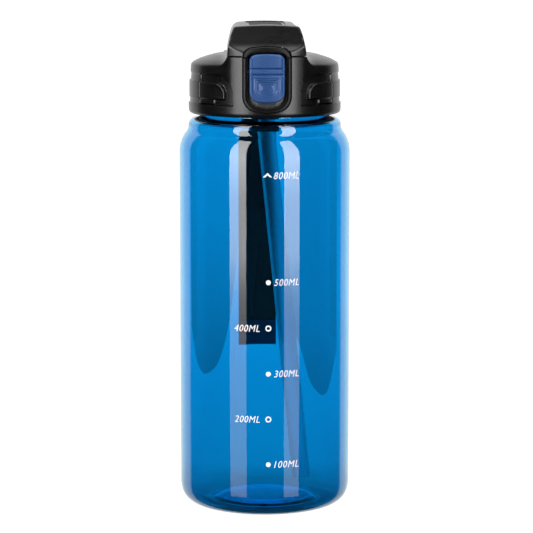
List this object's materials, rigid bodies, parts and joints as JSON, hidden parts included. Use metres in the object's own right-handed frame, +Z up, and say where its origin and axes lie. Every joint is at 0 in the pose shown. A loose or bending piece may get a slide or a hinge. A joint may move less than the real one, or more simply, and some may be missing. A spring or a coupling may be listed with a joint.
{
  "type": "sports water bottle",
  "caption": "Clear blue sports bottle with a screw-on black lid, a push-button flip cover over a soft mouthpiece, and a leaning straw.",
  "frame": {"origin": "centre of the base, on the surface that the bottle stands on", "axes": "+Z up along the bottle, -Y out of the push button at the front, +X to the side that the straw leans to"},
  "size_m": [0.081, 0.081, 0.2313],
  "materials": {
    "clear_blue": "clear blue copolyester, polished",
    "black_shell": "fine satin texture",
    "black_inner": "plain moulded",
    "button_blue": "satin",
    "clear_silicone": "translucent soft silicone",
    "dark_silicone": "matt soft silicone",
    "straw_blue": "translucent tube",
    "spring_steel": "drawn wire and ground pin"
  },
  "bodies": {
    "bottle": {"bottle_body": "clear_blue"},
    "seal": {"neck_gasket": "dark_silicone"},
    "lid": {"lid_shell": "black_shell", "lid_core": "black_inner", "button_bezel": "black_shell", "button_pin": "spring_steel", "button_spring": "spring_steel", "hinge_pin": "spring_steel", "hinge_spring": "spring_steel", "mouthpiece": "clear_silicone", "spout_collar": "black_inner", "straw_adapter": "dark_silicone", "straw": "straw_blue", "vent_valve": "clear_silicone"},
    "cover": {"flip_cover": "black_shell", "catch_plate": "black_shell", "cover_liner": "black_inner", "spout_plug": "dark_silicone"},
    "button": {"push_button": "button_blue"}
  },
  "joints": [
    {"name": "lid_rise", "type": "slide", "parent": "bottle", "child": "seal", "axis": [0, 0, 1], "range_m": [0, 0.0058]},
    {"name": "lid_turn", "type": "hinge", "parent": "seal", "child": "lid", "pos_m": [0, 0, 0.2], "axis": [0, 0, 1], "range_deg": [0, 450]},
    {"name": "cover_hinge", "type": "hinge", "parent": "lid", "child": "cover", "pos_m": [0, 0.0295, 0.216], "axis": [-1, 0, 0], "range_deg": [0, 130], "deforming": ["hinge_spring"]},
    {"name": "button_press", "type": "hinge", "parent": "lid", "child": "button", "pos_m": [0, -0.0316, 0.2097], "axis": [1, 0, 0], "range_deg": [0, 5], "stiffness_Nm_per_rad": 0.5, "deforming": ["button_spring"]}
  ],
  "couplings": [
    {"joint": "lid_rise", "follows": "lid_turn", "m_per_rad": 0.00073211}
  ]
}
